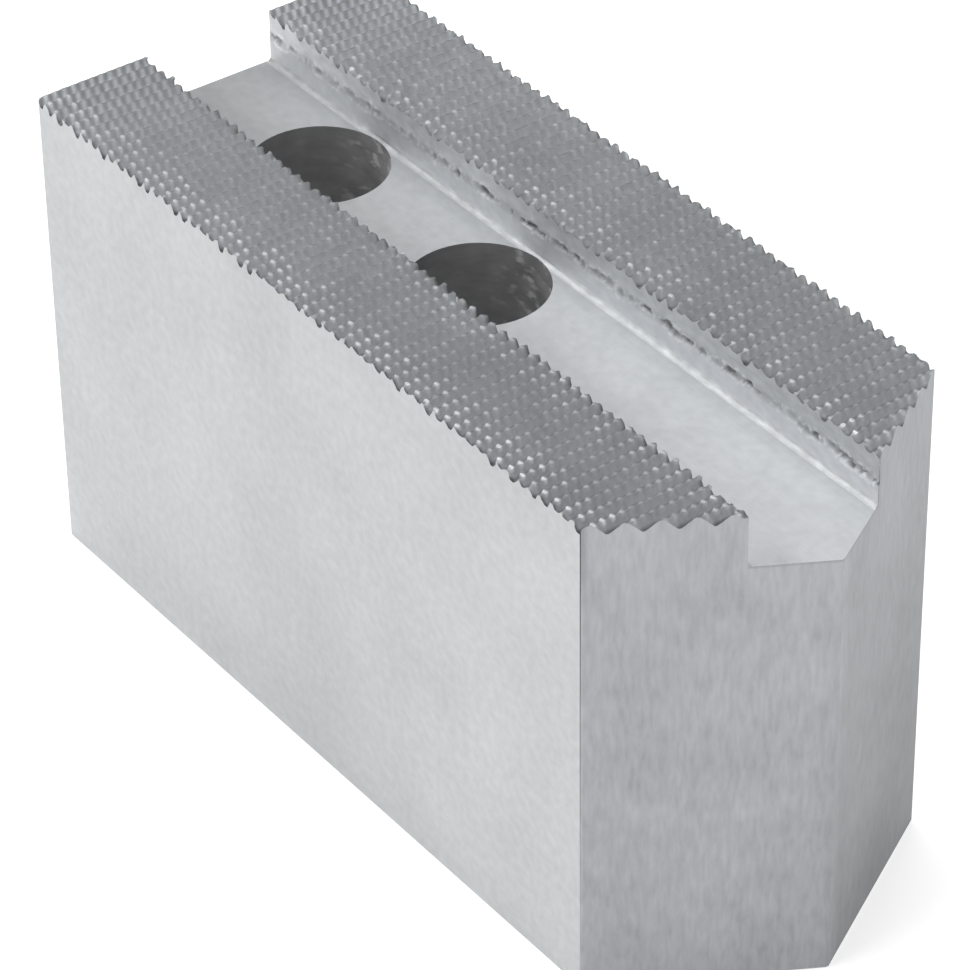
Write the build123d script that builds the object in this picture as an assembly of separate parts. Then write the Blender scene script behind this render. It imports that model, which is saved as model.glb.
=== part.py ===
from build123d import *
import os
from math import ceil, cos, radians, tan

# Block, in millimetres, standing on its flat work face with the serrated face up
jaw_width = 38.1
jaw_height = 50.8
side_length = 83.65  # back face to the corners where the nose begins
nose_angle = 120.0  # angle between the two nose faces, seen from above
edge_break = 0.15  # small chamfer down every upright edge
base_chamfer = 0.15  # chamfer round the work face

# Key slot along the middle of the serrated face
slot_width = 14.0
slot_depth = 5.5
slot_corner_radius = 0.4

# Serrations across both bars beside the slot
serration_pitch = 1.5
serration_angle = 60.0
crest_flat = 0.2
root_flat = 0.12
back_to_first_root = 0.75

# Two bolts, with their heads sunk into the work face
bolt_diameter = 12.0
bolt_clearance = 1.5
bolt_spacing = 25.0
back_to_first_bolt = 18.25
head_diameter = 18.0
head_clearance = 2.0
seat_thickness = 19.0  # from the seats of the bolt heads up to the serration crests
mouth_chamfer = 0.8

# Sizes that follow
nose_length = jaw_width / 2 / tan(radians(nose_angle / 2))
overall_length = side_length + nose_length - edge_break * cos(radians(nose_angle / 2))
bar_length = side_length + nose_length * (1 - slot_width / jaw_width)
flank_slope = tan(radians(serration_angle / 2))
serration_depth = (serration_pitch - crest_flat - root_flat) / 2 / flank_slope
bolt_hole_radius = (bolt_diameter + bolt_clearance) / 2
counterbore_radius = (head_diameter + head_clearance) / 2
counterbore_depth = jaw_height - seat_thickness


def pointed_block():
    """The bar stock with its square back and pointed nose, its edges broken."""
    with BuildPart() as block:
        with BuildSketch() as plan:
            with BuildLine():
                Polyline(
                    (0, -jaw_width / 2),
                    (side_length, -jaw_width / 2),
                    (side_length + nose_length, 0),
                    (side_length, jaw_width / 2),
                    (0, jaw_width / 2),
                    close=True,
                )
            make_face()
            chamfer(plan.vertices(), length=edge_break)
        extrude(amount=jaw_height)
        chamfer(block.faces().sort_by(Axis.Z)[0].edges(), length=base_chamfer)
    return block.part


def slot_cutter():
    """The key slot's section, with small radii along its floor, run the length of the jaw."""
    with BuildPart() as cutter:
        with BuildSketch(Plane.YZ) as section:
            with Locations((0, jaw_height - slot_depth)):
                Rectangle(slot_width, 2 * slot_depth, align=(Align.CENTER, Align.MIN))
            fillet(section.vertices().group_by(Axis.Z)[0], radius=slot_corner_radius)
        extrude(amount=side_length + nose_length)
    return cutter.part


def toothed_slab():
    """A slab as wide as the jaw, with the serrations' straight V grooves across its top."""
    root_height = jaw_height - serration_depth
    root_half = root_flat / 2
    mouth_half = root_half + serration_depth * flank_slope
    groove_count = ceil((bar_length + mouth_half - back_to_first_root) / serration_pitch)
    # The profile starts one pitch behind the back face, so a groove may run out through it
    profile = [(-serration_pitch, 0), (-serration_pitch, jaw_height)]
    for index in range(groove_count):
        root = back_to_first_root + index * serration_pitch
        profile.append((root - mouth_half, jaw_height))
        profile.append((root - root_half, root_height))
        profile.append((root + root_half, root_height))
        profile.append((root + mouth_half, jaw_height))
    profile.append((side_length + nose_length, jaw_height))
    profile.append((side_length + nose_length, 0))
    with BuildPart() as slab:
        with BuildSketch(Plane.XZ):
            with BuildLine():
                Polyline(*profile, close=True)
            make_face()
        extrude(amount=jaw_width / 2, both=True)
    return slab.part


def soft_jaw():
    """The finished jaw, with X = 0 at its back face."""
    with BuildPart() as jaw:
        add(pointed_block())
        add(toothed_slab(), mode=Mode.INTERSECT)
        add(slot_cutter(), mode=Mode.SUBTRACT)
        hole_row = Plane((back_to_first_bolt + bolt_spacing / 2, 0, 0), z_dir=(0, 0, -1))
        with Locations(hole_row):
            with GridLocations(bolt_spacing, 0, 2, 1):
                CounterBoreHole(bolt_hole_radius, counterbore_radius, counterbore_depth, jaw_height)
        mouths = jaw.faces().sort_by(Axis.Z)[0].edges().filter_by(GeomType.CIRCLE)
        chamfer(mouths, length=mouth_chamfer)
    return jaw.part


os.makedirs("parts", exist_ok=True)
# The origin lies on the work face, under the middle of the jaw's length
finished = Pos(-overall_length / 2, 0, 0) * soft_jaw()
export_step(finished, "parts/soft_jaw.step")
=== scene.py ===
import math
import random
import bpy
from mathutils import Matrix, Vector, noise


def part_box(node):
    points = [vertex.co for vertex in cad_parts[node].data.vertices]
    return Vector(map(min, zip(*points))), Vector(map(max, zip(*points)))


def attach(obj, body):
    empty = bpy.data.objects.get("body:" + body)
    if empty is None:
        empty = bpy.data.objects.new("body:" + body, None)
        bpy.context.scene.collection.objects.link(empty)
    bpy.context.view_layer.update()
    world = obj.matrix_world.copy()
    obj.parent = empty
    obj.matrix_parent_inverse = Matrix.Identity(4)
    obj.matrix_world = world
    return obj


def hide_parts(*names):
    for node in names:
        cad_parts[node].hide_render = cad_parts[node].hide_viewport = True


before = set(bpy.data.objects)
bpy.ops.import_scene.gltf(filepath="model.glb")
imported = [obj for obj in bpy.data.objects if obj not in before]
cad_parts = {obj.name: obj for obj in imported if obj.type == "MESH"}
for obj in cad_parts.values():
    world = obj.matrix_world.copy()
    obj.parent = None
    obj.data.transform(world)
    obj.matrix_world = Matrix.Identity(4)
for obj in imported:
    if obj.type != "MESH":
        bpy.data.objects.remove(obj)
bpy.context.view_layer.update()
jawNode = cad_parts["soft_jaw"]
low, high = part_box("soft_jaw")
mm = 0.001
print("jaw loaded:", len(jawNode.data.polygons), "triangles")


# Shader maths: a Channel is one output in a material, and sums on it add nodes
class Channel:
    def __init__(self, paint, socket):
        self.paint = paint
        self.socket = socket

    def __add__(self, other):
        return self.paint.maths("ADD", self, other)

    def __sub__(self, other):
        return self.paint.maths("SUBTRACT", self, other)

    def __rsub__(self, other):
        return self.paint.maths("SUBTRACT", other, self)

    def __mul__(self, other):
        return self.paint.maths("MULTIPLY", self, other)

    def __truediv__(self, other):
        return self.paint.maths("DIVIDE", self, other)

    __radd__ = __add__
    __rmul__ = __mul__


class Paint:
    def __init__(self, name):
        self.material = bpy.data.materials.new(name)
        self.material.use_nodes = True
        self.tree = self.material.node_tree
        self.tree.nodes.clear()

    def node(self, kind, settings=None, sockets=None, output=0):
        made = self.tree.nodes.new(kind)
        for key, value in (settings or {}).items():
            setattr(made, key, value)
        for key, value in (sockets or {}).items():
            if isinstance(value, Channel):
                self.tree.links.new(value.socket, made.inputs[key])
            else:
                made.inputs[key].default_value = value
        return Channel(self, made.outputs[output]) if made.outputs else None

    def maths(self, operation, a, b):
        return self.node("ShaderNodeMath", {"operation": operation}, {0: a, 1: b})

    # 0 where value is at start, 1 at end, and clamped beyond them
    def between(self, value, start, end):
        ends = {"Value": value, "From Min": start, "From Max": end}
        return self.node("ShaderNodeMapRange", {"clamp": True}, ends)

    # The same for a place along an axis, in millimetres, with X from the jaw's back face
    def ramp(self, name, start, end):
        origin = low.x if name == "X" else 0.0
        return self.between(self.axis(name), origin + start * mm, origin + end * mm)

    def place(self, scale=(1, 1, 1), turn=(0, 0, 0)):
        here = self.node("ShaderNodeTexCoord", output="Object")
        return self.node("ShaderNodeMapping", None, {"Vector": here, "Scale": scale, "Rotation": turn})

    def axis(self, name):
        here = self.node("ShaderNodeTexCoord", output="Object")
        return self.node("ShaderNodeSeparateXYZ", None, {0: here}, output=name)

    # Noise between about -1 and 1, with size in metres and grain stretching it along an axis
    def noise(self, size, detail=2.0, grain=(1, 1, 1), turn=(0, 0, 0)):
        scale = [1 / stretch for stretch in grain]
        sockets = {"Vector": self.place(scale, turn), "Scale": 1 / size, "Detail": detail}
        return (self.node("ShaderNodeTexNoise", None, sockets) - 0.5) * 2.5

    def attribute(self, name):
        return self.node("ShaderNodeAttribute", {"attribute_name": name}, None, output="Fac")

    def mix(self, amount, a, b):
        sockets = {0: amount, 6: a, 7: b}  # factor and the two colours
        return self.node("ShaderNodeMix", {"data_type": "RGBA"}, sockets, output=2)

    # A grey of that tone, cooled by a pair of tints for its red and its blue
    def steel(self, tone, tint):
        sockets = {"Red": tone * (1 + tint[0]), "Green": tone, "Blue": tone * (1 + tint[1])}
        return self.node("ShaderNodeCombineColor", None, sockets)

    def bump(self, height, depth):
        return self.node("ShaderNodeBump", None, {"Height": height, "Distance": depth}, output="Normal")

    # A steel, from its look, its tone, what its marks add to the roughness, and their bump
    def finishSteel(self, look, tone, rough, bump):
        return self.finish({
            "Base Color": self.steel(tone, look["tint"]),
            "Metallic": look["metal"],
            "Roughness": look["rough"] + rough,
            "Normal": bump,
        })

    def finish(self, sockets):
        shader = self.node("ShaderNodeBsdfPrincipled", None, sockets)
        self.node("ShaderNodeOutputMaterial", None, {"Surface": shader})
        return self.material


# From start to end while amount goes from 0 to 1
def blend(amount, start, end):
    return start + amount * (end - start)


def grey(value):
    return (value, value, value, 1)


# Sizes of the jaw, in millimetres, as the frame's own solid has them
jaw = {
    "slotHalf": 7.0,
    "slotDepth": 5.5,
    "cornerRadius": 0.4,
    "pitch": 1.5,
    "firstRoot": 0.75,
    "toothDepth": 1.022,
    "noseLength": 11.0,
    "firstHole": 18.25,
    "holeSpacing": 25.0,
    "boreSpan": (5.0, 60.0),  # where the holes and their counterbores lie, along the jaw
    "boreReach": 11.0,  # and to each side
    "toothSlice": 0.2,  # slices cut along each tooth
    "flankSlices": (0.09, 0.22, 0.46, 0.8),  # and across its flanks, below the crest
    "wallSlice": 0.24,
    "wallTop": 1.3,  # below the crests, clear of the roots
}
halfWidth = high.y / mm
top = high.z / mm
length = (high.x - low.x) / mm
sideLength = length - jaw["noseLength"]
slotFloor = top - jaw["slotDepth"]
# Kinds of face, each with its finish. The band is the part of the slot's walls that pits may tear.
zones = [
    "flank", "nose", "slotFloor", "slotCorner", "teeth",
    "crest", "wallTop", "wallBand", "bore", "base",
]


def inMm(point):
    return point.x / mm - low.x / mm, point.y / mm, point.z / mm


# The kind a face of the jaw is, from its place and the way it faces
def zoneOf(place, normal):
    x, y, z = place
    sideways = abs(y)
    if normal.z < -0.5:
        return "base"
    if z > top - jaw["toothDepth"] - 0.05 and sideways > jaw["slotHalf"] - 0.02 and normal.z > 0.3:
        return "crest" if normal.z > 0.99 and z > top - 0.01 else "teeth"
    if z > slotFloor - 0.01 and sideways < jaw["slotHalf"] + 0.05:
        if normal.z > 0.99:
            return "slotFloor"
        return "slotCorner" if normal.z > 0.05 else "wallTop"
    first, last = jaw["boreSpan"]
    if sideways < jaw["boreReach"] and first < x < last and z < slotFloor + 0.01:
        return "bore"
    return "flank" if abs(normal.y) > 0.9 else "nose"


def selectOnly(piece):
    bpy.ops.object.select_all(action="DESELECT")
    piece.select_set(True)
    bpy.context.view_layer.objects.active = piece


# In edit mode, select the faces of some zones
def selectZones(piece, names):
    bpy.ops.mesh.select_mode(type="FACE")
    bpy.ops.mesh.select_all(action="DESELECT")
    for name in names:
        piece.active_material_index = zones.index(name)
        bpy.ops.object.material_slot_select()


# And cut them along a plane
def cutZones(piece, names, point, normal):
    selectZones(piece, names)
    bpy.ops.mesh.bisect(plane_co=[value * mm for value in point], plane_no=normal)


def span(start, end, step):
    count = int((end - start) / step)
    return [start + step * index for index in range(1, count)]


def cutJaw():
    piece = bpy.data.objects.new("jawBody", jawNode.data.copy())
    bpy.context.scene.collection.objects.link(piece)
    selectOnly(piece)
    bpy.ops.object.mode_set(mode="EDIT")
    bpy.ops.mesh.select_all(action="SELECT")
    bpy.ops.mesh.remove_doubles(threshold=1e-6)
    bpy.ops.mesh.dissolve_limited(angle_limit=math.radians(1))
    bpy.ops.object.mode_set(mode="OBJECT")
    bpy.ops.mesh.customdata_custom_splitnormals_clear()
    piece.data.materials.clear()
    for name in zones:
        piece.data.materials.append(bpy.data.materials.new("blank" + name))
    for face in piece.data.polygons:
        face.material_index = zones.index(zoneOf(inMm(face.center), face.normal))
    bpy.ops.object.mode_set(mode="EDIT")
    originX = low.x / mm
    wallFoot = slotFloor + jaw["cornerRadius"]
    cutZones(piece, ["wallTop"], (0, 0, top - jaw["wallTop"]), (0, 0, 1))
    bpy.ops.object.mode_set(mode="OBJECT")
    for face in piece.data.polygons:
        if zones[face.material_index] == "wallTop" and face.center.z / mm < top - jaw["wallTop"]:
            face.material_index = zones.index("wallBand")
    bpy.ops.object.mode_set(mode="EDIT")
    for x in span(0, length, jaw["wallSlice"]):
        cutZones(piece, ["wallBand"], (originX + x, 0, 0), (1, 0, 0))
    for z in span(wallFoot, top - jaw["wallTop"], jaw["wallSlice"]):
        cutZones(piece, ["wallBand"], (0, 0, z), (0, 0, 1))
    for depth in jaw["flankSlices"]:
        cutZones(piece, ["teeth"], (0, 0, top - depth), (0, 0, 1))
    for y in span(jaw["slotHalf"], halfWidth, jaw["toothSlice"]):
        for sideways in (y, -y):
            cutZones(piece, ["teeth", "crest"], (0, sideways, 0), (0, 1, 0))
    bpy.ops.object.mode_set(mode="OBJECT")
    return piece


# A point that is moved stays inside the solid's own box
def moveTo(vertex, place):
    for axis in range(3):
        vertex.co[axis] = min(high[axis], max(low[axis], place[axis]))


jawBody = cutJaw()
print("jaw cut:", len(jawBody.data.polygons), "faces")

# Smooth chance at a place, with grain saying how quickly it changes each way
def chanceAt(place, grain):
    return noise.noise(Vector([value * scale for value, scale in zip(place, grain)]))


# Crests beaded by the cutter's chatter, in rows that lie on wide arcs; the teeth paint adds a painted
# highlight on each bead.
# Pairs are for the bar towards -Y and for the other bar.
chatter = {
    "spacing": 1.01,  # from one bead to the next along a crest
    "bow": 7.5,  # how many beads an arc crosses
    "bowEnd": 66.0,  # where the arcs run straight, from the back
    "jitter": (0.10, 0.14),  # how far a crest's beads stray from their arcs
    "strength": (0.18, 0.20),
    "edge": (1.0, 0.42),  # how much stronger on the lit side towards -Y of each bar, in size and painted highlight
    "edgeWide": 4.5,
    "slotEdge": 0.46,  # and beside the slot on the bar towards -Y
    "slotEdgeSpan": (22.0, 60.0),  # where that comes in, from the back
    "luck": (1.7, 2.6),  # how unlike each other the beads are
    "luckMiddle": 0.95,
    "luckRange": (0.15, 2.2),
    "luckGrain": (3.71, 2.33, 9.1),
    "round": 1.5,  # higher makes the beads shorter
    "faint": 0.45,  # how much of its size the faintest bead keeps
    "dip": 0.09,  # depth between the beads
    "dipReach": 0.25,
    "pinch": 0.07,  # how far the crest narrows there
    "spread": 0.20,  # and how far it widens on a bead
    "reach": 0.5,  # how far down the flanks a bead swells
    "glow": 0.46,  # and how far down the flank its painted highlight shines
    "drag": 0.09,  # faint marks down the whole flank
    "dragBack": 0.56,  # clearer towards the back
    "seed": 41,
}
# Burrs at the ends of the teeth, which part fill the grooves and pull the crests down
burr = {
    "wide": 0.45,  # how far in from a tooth's end
    "shift": 0.16,  # how far it pushes a groove's foot along the jaw
    "lean": 0.6,  # and the flanks beside it, as a part of that
    "hollow": 0.12,  # how far it rounds out the foot of a groove
    "fill": 0.26,  # how far it lifts the foot
    "ragged": 0.36,  # and how much that varies
    "droop": 0.15,  # how far a crest sinks
    "chip": 0.15,
    "chipGrainX": (1.6, 2.2, 2.0),
    "chipGrainZ": (1.9, 2.6, 1.8),
    "chipApart": 4.5,  # keeps the chances for the two ways apart
    "lip": 0.24,  # how far a crest rolls over into the slot
    "crestDark": 0.3,  # how dark a burr and its painted shade are at a crest, against 1 at a root
    "darkLuck": 0.4,
    "slotDark": 0.55,  # how much of the darkness shows beside the slot on the bar towards +Y
    "seed": 7,
}
burrParts = ("shift", "front", "back", "fill", "droop", "lip")  # drawn for each burr, in turn


def beadStrength(bar, x, sideways):
    fromSlot = sideways - jaw["slotHalf"]
    fromLit = halfWidth - sideways if bar == 0 else fromSlot
    amount = chatter["strength"][bar]
    amount += chatter["edge"][bar] * max(0.0, 1 - fromLit / chatter["edgeWide"])
    if bar == 0:
        start, end = chatter["slotEdgeSpan"]
        forward = min(1.0, max(0.0, (x - start) / (end - start)))
        amount += chatter["slotEdge"] * forward * max(0.0, 1 - fromSlot / chatter["edgeWide"])
    return amount


# Moves along X and Z that swell a tooth at its beads, where along is a whole number.
# side is 1 on the flank that faces the nose and -1 on the other.
def beadMove(along, strength, side, below):
    swell = (0.5 + 0.5 * math.cos(2 * math.pi * along)) ** chatter["round"]
    near = max(0.0, 1 - below / chatter["reach"])
    firm = chatter["faint"] + (1 - chatter["faint"]) * strength
    widen = chatter["spread"] * swell - chatter["pinch"] * (1 - swell) * near
    sink = chatter["dip"] * (1 - swell) * max(0.0, 1 - below / chatter["dipReach"])
    return side * near * firm * widen, -firm * sink


# Moves along X and Z right at a tooth's end, with deep going from 0 on a crest to 1 at a root
def burrMove(place, deep, side, rootLuck, crestLuck):
    x, y, below = place
    bulge = 4 * deep * (1 - deep)  # 1 halfway down
    lean = burr["lean"] * bulge * rootLuck["front" if side > 0 else "back"]
    moveX = burr["shift"] * (deep * rootLuck["shift"] + lean)
    moveX -= side * burr["hollow"] * (deep + 0.5 * bulge)
    moveX += burr["chip"] * chanceAt((x, y, below + burr["chipApart"]), burr["chipGrainX"])
    moveZ = deep * (burr["fill"] + burr["ragged"] * rootLuck["fill"])
    moveZ -= (1 - deep) * burr["droop"] * (1 + crestLuck["droop"])
    moveZ += burr["chip"] * chanceAt(place, burr["chipGrainZ"])
    return moveX, moveZ


def shapeTeeth(piece):
    chance = random.Random(chatter["seed"])
    ragged = random.Random(burr["seed"])
    teeth = range(int(length / jaw["pitch"]) + 3)
    starts = [[chance.uniform(-1, 1) * jitter for tooth in teeth] for jitter in chatter["jitter"]]
    ends = [
        [{part: ragged.uniform(-1, 1) for part in burrParts} for tooth in teeth]
        for row in range(4)  # the outer and inner ends on each bar
    ]
    marks = piece.data.attributes
    for name in ("phase", "strength", "rolled"):
        marks.new(name, "FLOAT", "POINT")
    # The faces of the nose and back stay flat, so their points only move up or down
    upright = set()
    for face in piece.data.polygons:
        if zones[face.material_index] == "nose":
            upright.update(face.vertices)
    for index, vertex in enumerate(piece.data.vertices):
        x, y, z = inMm(vertex.co)
        sideways = abs(y)
        below = top - z
        if below > jaw["toothDepth"] + 0.02 or sideways < jaw["slotHalf"] - 0.01:
            continue
        bar = 0 if y < 0 else 1
        pitches = (x - jaw["firstRoot"]) / jaw["pitch"]
        tooth = int(math.floor(pitches)) + 1
        root = max(0, int(round(pitches)) + 1)
        side = 1 if x > jaw["firstRoot"] + (tooth - 0.5) * jaw["pitch"] else -1
        bow = chatter["bow"] * (1 - (1 - x / chatter["bowEnd"]) ** 2)
        along = -y / chatter["spacing"] - bow + starts[bar][tooth]
        least, most = chatter["luckRange"]
        luck = chatter["luck"][bar] * chanceAt((round(along), tooth, bar), chatter["luckGrain"])
        luck = min(most, max(least, chatter["luckMiddle"] + luck))
        strength = min(1.0, beadStrength(bar, x, sideways) * luck)
        marks["phase"].data[index].value = along
        marks["strength"].data[index].value = strength
        moveX, moveZ = beadMove(along, strength, side, below)
        moveY = 0.0
        fromEnd = min(halfWidth - sideways, sideways - jaw["slotHalf"])
        if fromEnd < burr["wide"]:
            close = 1 - max(0.0, fromEnd) / burr["wide"]
            inner = sideways < (jaw["slotHalf"] + halfWidth) / 2
            row = ends[bar * 2 + inner]
            rootLuck, crestLuck = row[root], row[max(0, tooth)]
            deep = min(1.0, below / jaw["toothDepth"])
            burrX, burrZ = burrMove((x, y, below), deep, side, rootLuck, crestLuck)
            moveX += close * burrX
            moveZ += close * burrZ
            # Burr darkness with painted shade, deepest towards a root
            dark = close * min(1.0, burr["crestDark"] + deep + burr["darkLuck"] * rootLuck["shift"])
            marks["rolled"].data[index].value = dark * (burr["slotDark"] if bar and inner else 1.0)
            if inner and fromEnd < 0.02:
                moveY = -math.copysign(burr["lip"] * max(0.0, crestLuck["lip"]) * (1 - deep), y)
        if index in upright:
            moveX = moveY = 0.0
        moveTo(vertex, vertex.co + Vector((moveX * mm, moveY * mm, moveZ * mm)))


shapeTeeth(jawBody)
print("teeth shaped")

# A broken line of torn pits runs along both walls of the slot
tear = {
    "below": 2.75,  # from the crests down to the line
    "wander": 0.22,
    "wanderGrain": 0.35,
    "noseDrop": 0.45,  # how far the line falls near the nose
    "noseReach": 18.0,
    "first": 0.6,  # from the back to the first pit
    "gap": (0.6, 2.5),  # and from one to the next
    "gapLuck": (0.5, 1.0, 1.0),
    "crowd": (9.5, 5.5),  # where pits lie closer, from the nose's point
    "crowdGap": 0.35,
    "stray": 0.18,  # how far a pit lies from the line
    "wide": (0.22, 0.80),
    "tall": (0.18, 0.48),
    "depth": (0.05, 0.32),
    "backEnd": 25.0,  # up to here from the back, pits are shallow
    "shallow": 0.5,
    "reach": 1.4,  # no pit reaches further along the wall
    "steep": 0.75,
    "wobble": 0.75,
    "wobbleGrain": (2.1, 2.6, 5.0),
    "rim": 0.05,  # how far the metal rises round a pit
    "rimAt": 1.45,  # in sizes of the pit
    "rimWide": 0.4,
    "rimLight": 0.5,
    "fullDark": 0.3,  # the depth at which a pit's painted shade is darkest
    "rough": 0.02,  # of the metal above the line
    "roughGrain": (1.7, 1.9, 1.0),
    "limits": (-0.04, 0.4),  # how far out and in the metal may go
    "seed": 23,
}


def tearLine(x):
    fall = tear["noseDrop"] * max(0.0, (x - length + tear["noseReach"]) / tear["noseReach"])
    wander = tear["wander"] * chanceAt((x, 4.0, 2.0), (tear["wanderGrain"], 1, 1))
    return top - tear["below"] - fall + wander


def tearPits(seed):
    chance = random.Random(seed)
    crowdStart, crowdEnd = (length - reach for reach in tear["crowd"])
    x = tear["first"]
    pits = []
    while x < length:
        pits.append({
            "x": x,
            "z": tearLine(x) + chance.uniform(-tear["stray"], tear["stray"]),
            "wide": chance.uniform(*tear["wide"]),
            "tall": chance.uniform(*tear["tall"]),
            "depth": chance.uniform(*tear["depth"]) * (tear["shallow"] if x < tear["backEnd"] else 1),
        })
        gap = chance.uniform(*tear["gap"])
        crowded = crowdStart < x < crowdEnd
        x += gap * (tear["crowdGap"] if crowded else chance.choice(tear["gapLuck"]))
    return pits


# How deep the wall is torn at a place, and its painted shading: above 0 a painted shade in a pit, below
# 0 a painted highlight on a rim
def tearAt(pits, x, z, side):
    wobble = tear["wobble"] * chanceAt((x, z, side), tear["wobbleGrain"])
    deep = 0.0
    shade = 0.0
    for pit in pits:
        if abs(pit["x"] - x) > tear["reach"]:
            continue
        across = (x - pit["x"]) / pit["wide"]
        up = (z - pit["z"]) / pit["tall"]
        reach = math.sqrt(across * across + up * up) + wobble
        inside = max(0.0, 1 - reach * reach * tear["steep"])
        rim = max(0.0, 1 - abs(reach - tear["rimAt"]) / tear["rimWide"])
        deep += pit["depth"] * inside - tear["rim"] * rim
        if inside > 0:
            shade = max(shade, inside * pit["depth"] / tear["fullDark"])
        elif shade <= 0:
            shade -= tear["rimLight"] * rim
    return deep, shade


def shapeWalls(piece):
    pits = {-1: tearPits(tear["seed"]), 1: tearPits(tear["seed"] + 1)}
    pitShading = piece.data.attributes.new("pitShading", "FLOAT", "POINT")
    for index, vertex in enumerate(piece.data.vertices):
        x, y, z = inMm(vertex.co)
        if abs(abs(y) - jaw["slotHalf"]) > 0.02 or z > top - jaw["wallTop"] + 0.01:
            continue
        if z < slotFloor + jaw["cornerRadius"] + 0.05:
            continue
        side = 1 if y > 0 else -1
        deep, shade = tearAt(pits[side], x, z, side)
        pitShading.data[index].value = max(-1.0, min(1.0, shade))
        if z > tearLine(x):
            deep += tear["rough"] * (1 + chanceAt((x, z, y + 8), tear["roughGrain"]))
        deep = max(tear["limits"][0], min(tear["limits"][1], deep))
        moveTo(vertex, vertex.co + Vector((0, side * deep * mm, 0)))


shapeWalls(jawBody)
print("walls shaped")


# Curved and beaded faces shade smooth, plain ones flat, and a finish ends at a sharp line
def shadeJaw(piece):
    selectOnly(piece)
    bpy.ops.object.mode_set(mode="EDIT")
    for name in ("bore", "crest"):
        selectZones(piece, [name])
        bpy.ops.mesh.region_to_loop()
        bpy.ops.mesh.mark_sharp()
    bpy.ops.object.mode_set(mode="OBJECT")
    bpy.ops.object.shade_smooth_by_angle(angle=math.radians(50), keep_sharp_edges=True)
    plain = [zones.index(name) for name in ("flank", "nose", "slotFloor", "base", "wallTop")]
    for face in piece.data.polygons:
        if face.material_index in plain:
            face.use_smooth = False


shadeJaw(jawBody)

# Steel, as drawn on the flanks, sawn on the nose and back, milled in the slot and the serrations.
# tone and tint give the colour, metal and rough the shine, and the rest how strong each mark, painted
# light or painted shade is.
steel = {
    "flank": {
        "tone": 0.56, "tint": (-0.022, 0.016), "metal": 0.75, "rough": 0.5,
        "mottle": 0.14, "cloud": 0.12, "scuff": 0.02,
        "back": 0.045,  # painted light, lighter towards the back
        # painted shade, faint and wide, low on the side
        "shade": 0.05,
    },
    "nose": {
        "tone": 0.44, "tint": (-0.022, 0.040), "metal": 0.75, "rough": 0.5,
        "streak": 0.17, "mottle": 0.15, "cloud": 0.12,
        "far": 0.05,  # painted shade, darker on the face towards +Y
        # painted shade towards the foot, most on the face towards +Y
        "foot": 0.07, "farFoot": 0.28,
        "tip": 0.06,  # painted highlight there, and painted shade at the other three
        "corner": 0.30, "under": 0.22, "beside": 0.30,
    },
    "slotFloor": {
        "tone": 0.63, "tint": (-0.024, 0.020), "metal": 0.7, "rough": 0.58,
        "mottle": 0.10, "cloud": 0.08, "lines": 0.03,
        "back": 0.74,  # painted light, the tone there, as a part of the tone further on
        "nearWallLight": 0.075, "wallLineHighlight": 0.30,  # painted light, wide and narrow, beside the wall towards +Y
        # painted shade beside the bar towards -Y and at the slot's mouth
        "nearBarShade": 0.09, "mouth": 0.27,
    },
    "slotCorner": {
        # a high tone, a painted highlight along the fillet
        "tone": 0.88, "tint": (-0.02, 0.012), "metal": 0.75, "rough": 0.42,
        # the painted highlight weaker at the back, against 1 further on
        "back": 0.72, "fleck": 0.28,
        "front": 0.14,  # the painted highlight darker towards the nose
    },
    "teeth": {
        "tone": 0.507, "tint": (-0.026, 0.036), "metal": 0.75, "rough": 0.5,
        "beadHighlight": 0.98,  # tone of the brightest painted bead highlight
        "rolled": 0.55, "weave": 0.12, "fine": 0.16, "cloud": 0.08,
        "back": 0.14, "far": 0.05, "root": 0.5,
    },
    "crest": {
        # The crests' tone is a painted shade, which keeps the lit crest flats between the beads as dark
        # as the flanks
        "tone": 0.258, "tint": (-0.026, 0.030), "metal": 0.75, "rough": 0.5,
        "beadHighlight": 0.78,
        "rolled": 0.5, "weave": 0.08, "fine": 0.16, "cloud": 0.08,
        "back": 0.14, "far": 0.05, "root": 0.5,
    },
    "wall": {
        "tone": 0.70, "tint": (-0.024, 0.035), "metal": 0.25, "rough": 0.5,
        "lower": (0.93, 1.03),  # painted light, below the torn line, at the back and towards the nose
        "upperTone": 0.675, "upper": (1.08, 0.84),  # and above it
        "mottle": (0.15, 0.21),  # below the line and above it
        # the tones of the painted shade in a pit and of the painted highlight on its rim
        "cloud": 0.06, "seam": 0.16, "pitShading": 0.19, "rim": 0.88,
    },
    "bore": {
        # a low tone, painted shade deep in the holes
        "tone": 0.375, "tint": (0.0, 0.01), "metal": 0.75, "rough": 0.45, "rings": 0.08,
        "front": 1.3,  # painted light, lighter on the side of a hole towards the nose
        "stainAndShade": (0.22, 0.67), "arcs": (0.04, 1.94),  # at a hole's back and front
    },
    "base": {
        "tone": 0.58, "tint": (-0.02, 0.02), "metal": 0.75, "rough": 0.48,
        "mottle": 0.12, "cloud": 0.10, "lines": 0.03,
        "back": 1.0, "nearWallLight": 0.0, "wallLineHighlight": 0.0, "nearBarShade": 0.0, "mouth": 0.0,
    },
}


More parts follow.
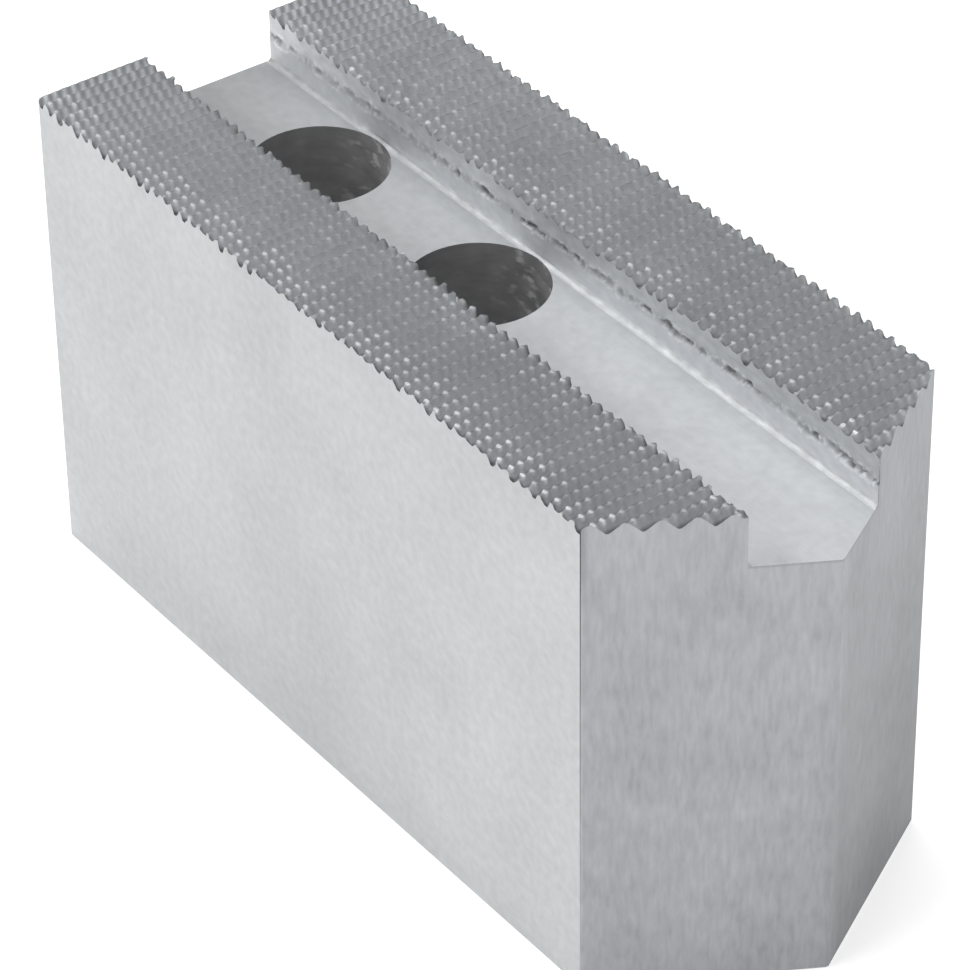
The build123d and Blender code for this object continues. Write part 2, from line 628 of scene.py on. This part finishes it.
def flankSteel(look):
    paint = Paint("drawnSteel")
    mottle = paint.noise(1.0 * mm, 3.0)
    cloud = paint.noise(13 * mm, 2.0)
    scuff = paint.noise(0.35 * mm, 2.0, (7, 1, 1))
    # Painted light, lighter towards the back
    back = paint.ramp("X", 32, 4)
    # A faint wide painted shade low on the side
    across = (paint.axis("X") - (low.x + 42 * mm)) / (20 * mm)
    up = (paint.axis("Z") - 12 * mm) / (20 * mm)
    shade = paint.between(across * across + up * up, 1.0, 0.1)
    grain = 1 + mottle * look["mottle"] + cloud * look["cloud"] + scuff * look["scuff"]
    tone = look["tone"] * (1 + back * look["back"]) * (1 - shade * look["shade"]) * grain
    rough = mottle * 0.05 + cloud * 0.03
    return paint.finishSteel(look, tone, rough, paint.bump(mottle + scuff * 0.6, 0.005 * mm))


def noseSteel(look):
    paint = Paint("sawnSteel")
    streak = paint.noise(0.45 * mm, 2.0, (1, 1, 4.5))
    mottle = paint.noise(1.1 * mm, 3.0, (1, 1, 2.2))
    cloud = paint.noise(9 * mm, 2.0)
    grain = 1 + streak * look["streak"] + mottle * look["mottle"] + cloud * look["cloud"]
    tone = look["tone"] * grain
    # Painted shade: a little darker towards the foot, most on the face towards +Y
    farFace = paint.ramp("Y", -2, 2)
    nearFace = 1 - farFace
    foot = paint.ramp("Z", top, 0)
    tone = tone * (1 - farFace * look["far"]) * (1 - foot * (look["foot"] + farFace * look["farFoot"]))
    # Painted highlight beside the point, painted shade beside the corner and round the slot's mouth
    slotHalf = jaw["slotHalf"]
    tip = paint.ramp("X", length - 0.55, length - 0.25) * nearFace
    corner = paint.ramp("X", sideLength + 0.42, sideLength + 0.12)
    corner = corner * paint.ramp("Z", top - 8.5, top - 2.0) * nearFace
    sideways = paint.maths("ABSOLUTE", paint.axis("Y"), 0.0)
    under = paint.between(sideways, (slotHalf + 0.05) * mm, (slotHalf - 0.2) * mm)
    under = under * paint.ramp("Z", slotFloor - 0.32, slotFloor - 0.05)
    beside = paint.ramp("Y", slotHalf + 0.38, slotHalf + 0.1) * farFace
    beside = beside * paint.ramp("Z", slotFloor - 0.1, slotFloor + 0.4)
    # Painted shade at the corner, under the slot floor's edge and beside the slot
    stainAndShade = corner * look["corner"] + under * look["under"] + beside * look["beside"]
    tone = tone * (1 + tip * look["tip"]) * (1 - stainAndShade)
    rough = streak * 0.05 + mottle * 0.04
    return paint.finishSteel(look, tone, rough, paint.bump(streak + mottle * 0.5, 0.008 * mm))


def floorSteel(look, name):
    paint = Paint(name)
    lines = paint.noise(0.22 * mm, 2.0, (22, 1, 22))
    mottle = paint.noise(1.0 * mm, 3.0)
    cloud = paint.noise(12 * mm, 2.0)
    # Painted light: darker towards the back
    tone = look["tone"] * blend(paint.ramp("X", 0, 60), look["back"], 1)
    tone = tone * (1 + mottle * look["mottle"] + cloud * look["cloud"] + lines * look["lines"])
    # Painted light: brighter beside the wall towards +Y, widely, and as a narrow highlight right at it
    tone = tone * (1 + paint.ramp("Y", 5.2, 6.1) * look["nearWallLight"])
    tone = tone * (1 + paint.ramp("Y", 6.32, 6.5) * look["wallLineHighlight"] * (1 + mottle * 0.35))
    # Painted shade on the other side, beside the bar towards -Y, and a blotchy painted shade at the
    # slot's mouth
    tone = tone * (1 - paint.ramp("Y", 1.0, -1.5) * paint.ramp("X", 84, 66) * look["nearBarShade"])
    mouth = paint.ramp("X", 89.0, 92.5) * paint.ramp("Y", -2.2, -4.2)
    mouth = mouth * paint.between(mottle + cloud, -0.5, 0.4)
    tone = tone * (1 - mouth * look["mouth"])
    rough = lines * 0.04 + mottle * 0.05
    return paint.finishSteel(look, tone, rough, paint.bump(lines + mottle * 0.5, 0.004 * mm))


def cornerSteel(look):
    paint = Paint("burnishedSteel")
    fleck = paint.noise(0.7 * mm, 3.0, (2, 1, 1))
    # Painted highlight along the fillet, weaker at the back and towards the nose, with flecks
    tone = look["tone"] * blend(paint.ramp("X", 0, 45), look["back"], 1) * (1 + fleck * look["fleck"])
    tone = tone * (1 - paint.ramp("X", 58, 80) * look["front"])
    rough = fleck * 0.08
    return paint.finishSteel(look, tone, rough, paint.bump(fleck, 0.006 * mm))


def teethSteel(look, name):
    paint = Paint(name)
    fine = paint.noise(0.5 * mm, 2.0)
    weave = paint.noise(0.40 * mm, 2.0, (5, 1, 5))
    cloud = paint.noise(7 * mm, 2.0)
    lump = paint.noise(0.9 * mm, 1.0)
    # Painted highlight: beads shine where the cosine of their phase is high
    swell = paint.maths("COSINE", paint.attribute("phase") * (2 * math.pi), 0.0) * 0.5 + 0.5
    shine = paint.maths("POWER", swell, 1.8) * paint.attribute("strength")
    shine = shine * paint.ramp("Z", top - chatter["glow"], top)
    # Marks down the flanks, clearer at the back, which the crests don't have
    drag = chatter["drag"] + paint.ramp("X", 14, 0) * chatter["dragBack"]
    drag = drag * (swell - 0.45) * paint.ramp("Z", top, top - 0.06)
    grain = 1 + weave * look["weave"] + fine * look["fine"] + cloud * look["cloud"]
    back = paint.ramp("X", 60, 0)
    farBar = paint.ramp("Y", -1, 1)
    tone = look["tone"] * (1 + back * look["back"] + farBar * look["far"]) * grain
    tone = tone * (1 + drag) + shine * (look["beadHighlight"] - look["tone"])
    # Painted shade along the roots, and where burrs have rolled over, dark burrs with painted shade
    root = paint.ramp("Z", top - 0.68, top - 0.98)
    rolled = paint.between(paint.attribute("rolled") + lump * 0.35 + fine * 0.1, 0.15, 0.85)
    tone = tone * (1 - root * look["root"]) * (1 - rolled * look["rolled"])
    rough = fine * 0.05 - shine * 0.1
    return paint.finishSteel(look, tone, rough, paint.bump(fine + weave, 0.008 * mm))


def wallSteel(look):
    paint = Paint("slotWallSteel")
    pitShading = paint.attribute("pitShading")
    mottle = paint.noise(0.9 * mm, 3.0, (1.5, 1, 1))
    cloud = paint.noise(5 * mm, 2.0, (2, 1, 1))
    fromSeam = paint.axis("Z") - ((top - tear["below"]) * mm + paint.noise(4 * mm, 1.0) * (0.2 * mm))
    above = paint.between(fromSeam, -0.3 * mm, 0.3 * mm)
    # Painted light along the wall, below and above the torn line
    along = paint.ramp("X", 10, 80)
    lower = look["tone"] * blend(along, *look["lower"])
    upper = look["upperTone"] * blend(along, *look["upper"])
    tone = blend(above, lower, upper)
    tone = tone * (1 + mottle * blend(above, *look["mottle"]) + cloud * look["cloud"])
    seam = paint.between(paint.maths("ABSOLUTE", fromSeam, 0.0), 0.65 * mm, 0.25 * mm)
    tone = tone * (1 - seam * look["seam"])
    # Painted shade in the pits and a painted highlight on their rims
    pit = paint.between(pitShading, 0.05, 0.75)
    rim = paint.between(pitShading, -0.05, -0.5)
    tone = blend(pit, tone, look["pitShading"]) + rim * (look["rim"] - look["tone"])
    rough = pit * 0.15 + mottle * 0.04
    return paint.finishSteel(look, tone, rough, paint.bump(mottle, 0.007 * mm))


def boreSteel(look):
    paint = Paint("drilledSteel")
    rings = paint.noise(0.30 * mm, 2.0, (14, 14, 1), (math.radians(4), math.radians(3), 0))
    stainAndShade = paint.noise(1.6 * mm, 3.0, (1.6, 1.6, 1))
    curls = paint.noise(1.1 * mm, 2.5, (1.7, 1.7, 1), (math.radians(25), 0, 0))
    arcs = paint.between(curls, 0.12, 0.60)
    # 0 at the back of each hole and 1 on its side towards the nose
    spacing = jaw["holeSpacing"] * mm
    start = low.x + (jaw["firstHole"] - 1.5 * jaw["holeSpacing"]) * mm
    fromMiddle = paint.maths("MODULO", paint.axis("X") - start, spacing) - spacing / 2
    front = paint.between(fromMiddle, -5 * mm, 5 * mm)
    # Painted light on each hole's side towards the nose
    tone = look["tone"] * (1 + front * look["front"])
    tone = tone * (1 + rings * look["rings"] + stainAndShade * blend(front, *look["stainAndShade"]))
    tone = tone + arcs * blend(front, *look["arcs"])
    rough = stainAndShade * 0.08
    return paint.finishSteel(look, tone, rough, paint.bump(rings * 0.5 + arcs, 0.02 * mm))


wallFinish = wallSteel(steel["wall"])
finishes = {
    "flank": flankSteel(steel["flank"]),
    "nose": noseSteel(steel["nose"]),
    "slotFloor": floorSteel(steel["slotFloor"], "milledSteel"),
    "slotCorner": cornerSteel(steel["slotCorner"]),
    "teeth": teethSteel(steel["teeth"], "serratedSteel"),
    "crest": teethSteel(steel["crest"], "crestSteel"),
    "wallTop": wallFinish,
    "wallBand": wallFinish,
    "bore": boreSteel(steel["bore"]),
    "base": floorSteel(steel["base"], "facedSteel"),
}
for index, name in enumerate(zones):
    jawBody.data.materials[index] = finishes[name]
for blank in [one for one in bpy.data.materials if one.name.startswith("blank")]:
    bpy.data.materials.remove(blank)
jawNode.data.materials.clear()
jawNode.data.materials.append(finishes["flank"])
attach(jawBody, "root")
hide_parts("soft_jaw")
print("steel painted")

# Floor and backdrop
floorLook = {"reach": 4.0, "colour": 0.8, "glow": 0.58}
bpy.ops.mesh.primitive_plane_add(size=floorLook["reach"], location=(0, 0, 0))
floor = bpy.context.object
floor.name = "studioFloor"


def floorPaint(look):
    paint = Paint("studioFloor")
    rays = paint.node("ShaderNodeLightPath", output="Is Camera Ray")
    shiny = paint.node("ShaderNodeLightPath", output="Is Glossy Ray")
    seen = paint.maths("MAXIMUM", rays, shiny)
    glow = paint.mix(seen, grey(0), grey(look["glow"]))
    return paint.finish({
        "Base Color": grey(look["colour"]),
        "Roughness": 0.9,
        "Specular IOR Level": 0.0,
        "Emission Color": glow,
        "Emission Strength": 1.0,
    })


floor.data.materials.append(floorPaint(floorLook))

# World and lamps
worldLook = {"ambient": 0.41}
world = bpy.data.worlds.new("studio")
bpy.context.scene.world = world
world.use_nodes = True
worldTree = world.node_tree
worldTree.nodes.clear()
ambientSky = worldTree.nodes.new("ShaderNodeBackground")
ambientSky.inputs["Color"].default_value = grey(worldLook["ambient"])
whiteSky = worldTree.nodes.new("ShaderNodeBackground")
whiteSky.inputs["Color"].default_value = grey(1.0)
skyRays = worldTree.nodes.new("ShaderNodeLightPath")
skyMix = worldTree.nodes.new("ShaderNodeMixShader")
skyOut = worldTree.nodes.new("ShaderNodeOutputWorld")
worldTree.links.new(skyRays.outputs["Is Camera Ray"], skyMix.inputs["Fac"])
worldTree.links.new(ambientSky.outputs[0], skyMix.inputs[1])
worldTree.links.new(whiteSky.outputs[0], skyMix.inputs[2])
worldTree.links.new(skyMix.outputs[0], skyOut.inputs["Surface"])


def softbox(name, place, aim, size, watts):
    lamp = bpy.data.lights.new(name, "AREA")
    lamp.shape = "SQUARE"
    lamp.size = size
    lamp.energy = watts
    made = bpy.data.objects.new(name, lamp)
    bpy.context.scene.collection.objects.link(made)
    made.location = place
    made.rotation_euler = (Vector(aim) - Vector(place)).to_track_quat("-Z", "Y").to_euler()


softbox("keyLamp", place=(-0.15, -0.75, 0.75), aim=(0, 0, 0.03), size=0.6, watts=3.7)
softbox("topLamp", place=(-0.20, 0.10, 0.85), aim=(0.01, 0, 0.04), size=0.5, watts=3.2)

# Camera, aimed as in the photograph
shot = {
    "azimuth": 54.19,
    "elevation": 36.28,
    "roll": -0.83,
    "distance": 0.4615,
    "aim": (-0.00902, 0.00407, 0.0182),
    "lens": 182.0,
    "sensor": 36.0,
    "nearest": 0.01,
}
turn = math.radians(shot["azimuth"])
rise = math.radians(shot["elevation"])
back = Vector((math.sin(turn) * math.cos(rise), -math.cos(turn) * math.cos(rise), math.sin(rise)))
lens = bpy.data.cameras.new("camera")
lens.lens = shot["lens"]
lens.sensor_width = shot["sensor"]
lens.clip_start = shot["nearest"]
camera = bpy.data.objects.new("camera", lens)
bpy.context.scene.collection.objects.link(camera)
facing = back.to_track_quat("Z", "Y").to_matrix().to_4x4()
stand = Matrix.Translation(Vector(shot["aim"]) + back * shot["distance"])
camera.matrix_world = stand @ facing @ Matrix.Rotation(math.radians(shot["roll"]), 4, "Z")
bpy.context.scene.camera = camera
bpy.context.scene.view_settings.view_transform = "Standard"
